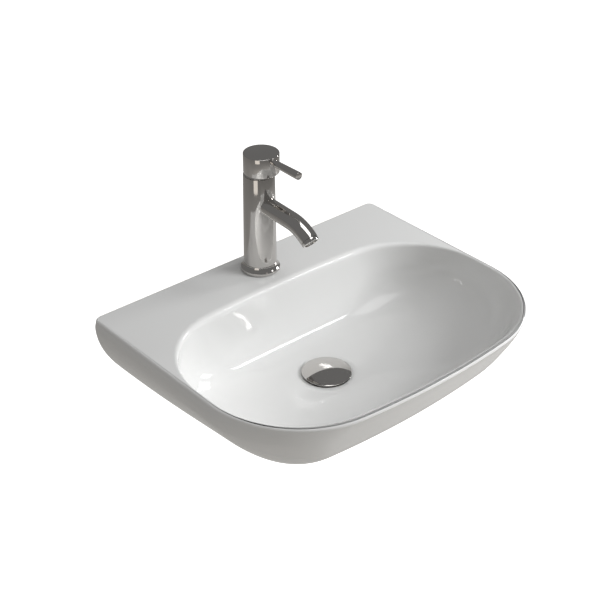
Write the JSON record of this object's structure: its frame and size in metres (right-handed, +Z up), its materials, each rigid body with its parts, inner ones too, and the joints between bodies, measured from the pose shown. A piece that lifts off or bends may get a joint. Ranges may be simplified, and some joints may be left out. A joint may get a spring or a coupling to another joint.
{
  "type": "wall-hung basin with mixer tap",
  "caption": "Wall-hung ceramic basin with a raised tap deck, single-lever mixer tap that turns and tips, and push-open waste plug.",
  "frame": {"origin": "middle of the two wall bolts, on the wall face; the rim is 70 mm above it", "axes": "+Z up, -Y out of the wall into the room, +X to the right of someone who faces the wall"},
  "size_m": [0.504, 0.4609, 0.364],
  "materials": {
    "glaze": "white glaze",
    "chrome": "polished chrome plate",
    "zinc_steel": "zinc plated steel",
    "brass": "bare turned brass",
    "rubber": "black rubber",
    "white_plastic": "moulded white plastic",
    "disc_ceramic": "lapped alumina ceramic",
    "black_steel": "black oxide steel",
    "grey_plastic": "glossy grey plastic"
  },
  "bodies": {
    "fixed": {"basin": "glaze", "wall_bolts": "zinc_steel", "wall_bolt_bushes": "white_plastic", "wall_bolt_washers": "zinc_steel", "wall_bolt_nuts": "zinc_steel", "tap_body": "chrome", "tap_base_ring": "chrome", "base_gasket": "rubber", "tap_stud": "zinc_steel", "clamp_rubber": "rubber", "clamp_plate": "zinc_steel", "clamp_nut": "brass", "cartridge_housing": "white_plastic", "cartridge_base": "white_plastic", "cartridge_seals": "rubber", "fixed_disc": "disc_ceramic", "cartridge_nut": "brass", "cartridge_shroud": "chrome", "aerator_housing": "chrome", "aerator_insert": "white_plastic", "aerator_washer": "rubber", "waste_body": "chrome", "waste_top_washer": "rubber", "waste_lower_washer": "rubber", "waste_slip_washer": "white_plastic", "waste_backnut": "brass", "click_housing": "white_plastic", "click_spring": "zinc_steel"},
    "rotor": {"cartridge_rotor": "white_plastic", "stem_pivot_pin": "zinc_steel"},
    "discs": {"disc_carrier": "white_plastic", "moving_disc": "disc_ceramic"},
    "handle": {"lever_stem": "brass", "handle_cap": "chrome", "lever_pin": "chrome", "grub_screw": "black_steel", "index_plug": "grey_plastic"},
    "plug": {"plug_cap": "chrome", "plug_seal": "rubber", "plug_stem": "brass"}
  },
  "joints": [
    {"name": "handle_turn", "type": "hinge", "parent": "fixed", "child": "rotor", "pos_m": [0, -0.0414, 0.208], "axis": [0, 0, 1], "range_deg": [-50, 50]},
    {"name": "handle_lift", "type": "hinge", "parent": "rotor", "child": "handle", "pos_m": [0, -0.0414, 0.208], "axis": [-1, 0, 0], "range_deg": [0, 24]},
    {"name": "disc_slide", "type": "slide", "parent": "rotor", "child": "discs", "axis": [0, -1, 0], "range_m": [0, 0.0048]},
    {"name": "plug_slide", "type": "slide", "parent": "fixed", "child": "plug", "axis": [0, 0, 1], "range_m": [0, 0.009], "deforming": ["click_spring"]}
  ],
  "couplings": [
    {"joint": "disc_slide", "follows": "handle_lift", "m_per_rad": 0.01125}
  ]
}
